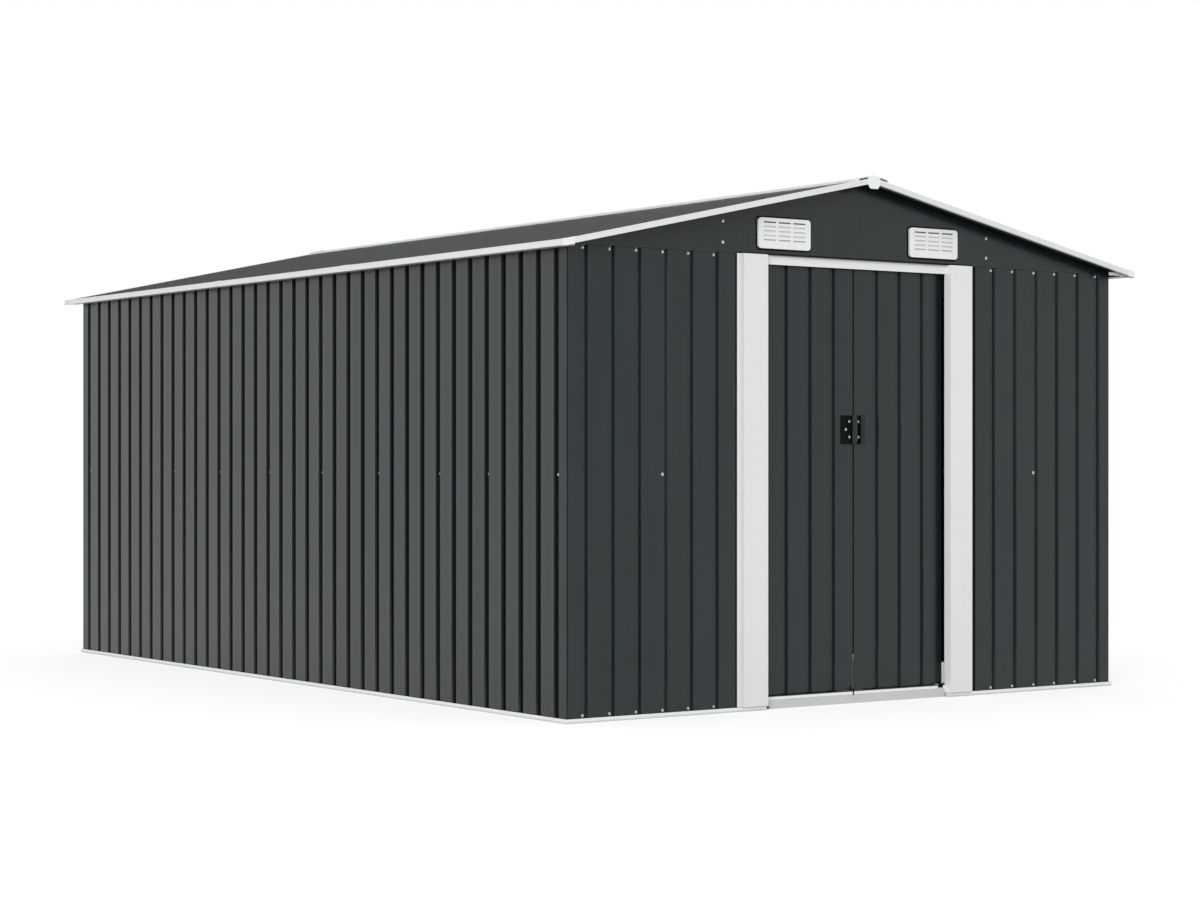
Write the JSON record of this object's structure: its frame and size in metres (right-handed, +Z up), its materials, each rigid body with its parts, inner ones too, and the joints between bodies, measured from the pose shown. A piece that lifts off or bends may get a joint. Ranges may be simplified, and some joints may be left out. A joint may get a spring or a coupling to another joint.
{
  "type": "metal storage shed",
  "caption": "Dark ribbed-metal garden storage shed with a low gable roof, white trims, slotted gable vents and a pair of doors that slide sideways behind the front wall.",
  "frame": {"origin": "on the ground at the centre of the shed's outline", "axes": "+Z up, +Y along the shed from the doors to the rear wall, +X to the right seen from the doors"},
  "size_m": [2.5676, 3.9256, 1.827],
  "materials": {
    "wall_paint": "satin",
    "trim_paint": "satin",
    "galvanised": "satin",
    "white_plastic": "matte",
    "black_plastic": "matte"
  },
  "bodies": {
    "shed": {"front_left_corner": "wall_paint", "front_right_corner": "wall_paint", "rear_left_corner": "wall_paint", "rear_right_corner": "wall_paint", "front_left_panel": "wall_paint", "front_right_panel": "wall_paint", "left_wall": "wall_paint", "right_wall": "wall_paint", "rear_wall": "wall_paint", "front_gable": "wall_paint", "rear_gable": "wall_paint", "left_roof": "wall_paint", "right_roof": "wall_paint", "base_rail_front": "trim_paint", "base_rail_rear": "trim_paint", "base_rail_left": "trim_paint", "base_rail_right": "trim_paint", "door_sill": "trim_paint", "left_jamb": "trim_paint", "right_jamb": "trim_paint", "door_header": "trim_paint", "ridge_cap": "trim_paint", "left_eave_trim": "trim_paint", "right_eave_trim": "trim_paint", "front_gable_trim": "trim_paint", "rear_gable_trim": "trim_paint", "rear_top_rail": "galvanised", "left_top_rail": "galvanised", "right_top_rail": "galvanised", "front_braces": "galvanised", "rear_brace": "galvanised", "left_brace": "galvanised", "right_brace": "galvanised", "ridge_beam": "galvanised", "left_purlin": "galvanised", "right_purlin": "galvanised", "front_vents": "white_plastic", "rear_vents": "white_plastic", "roof_end_caps": "white_plastic"},
    "left_sliding_door": {"left_door": "wall_paint", "left_door_stiffeners": "galvanised", "left_door_glides": "white_plastic", "left_handle": "black_plastic"},
    "right_sliding_door": {"right_door": "wall_paint", "right_door_stiffeners": "galvanised", "right_door_glides": "white_plastic", "right_handle": "black_plastic"}
  },
  "joints": [
    {"name": "left_door_slide", "type": "slide", "parent": "shed", "child": "left_sliding_door", "axis": [-1, 0, 0], "range_m": [0, 0.365]},
    {"name": "right_door_slide", "type": "slide", "parent": "shed", "child": "right_sliding_door", "axis": [1, 0, 0], "range_m": [0, 0.365]}
  ]
}
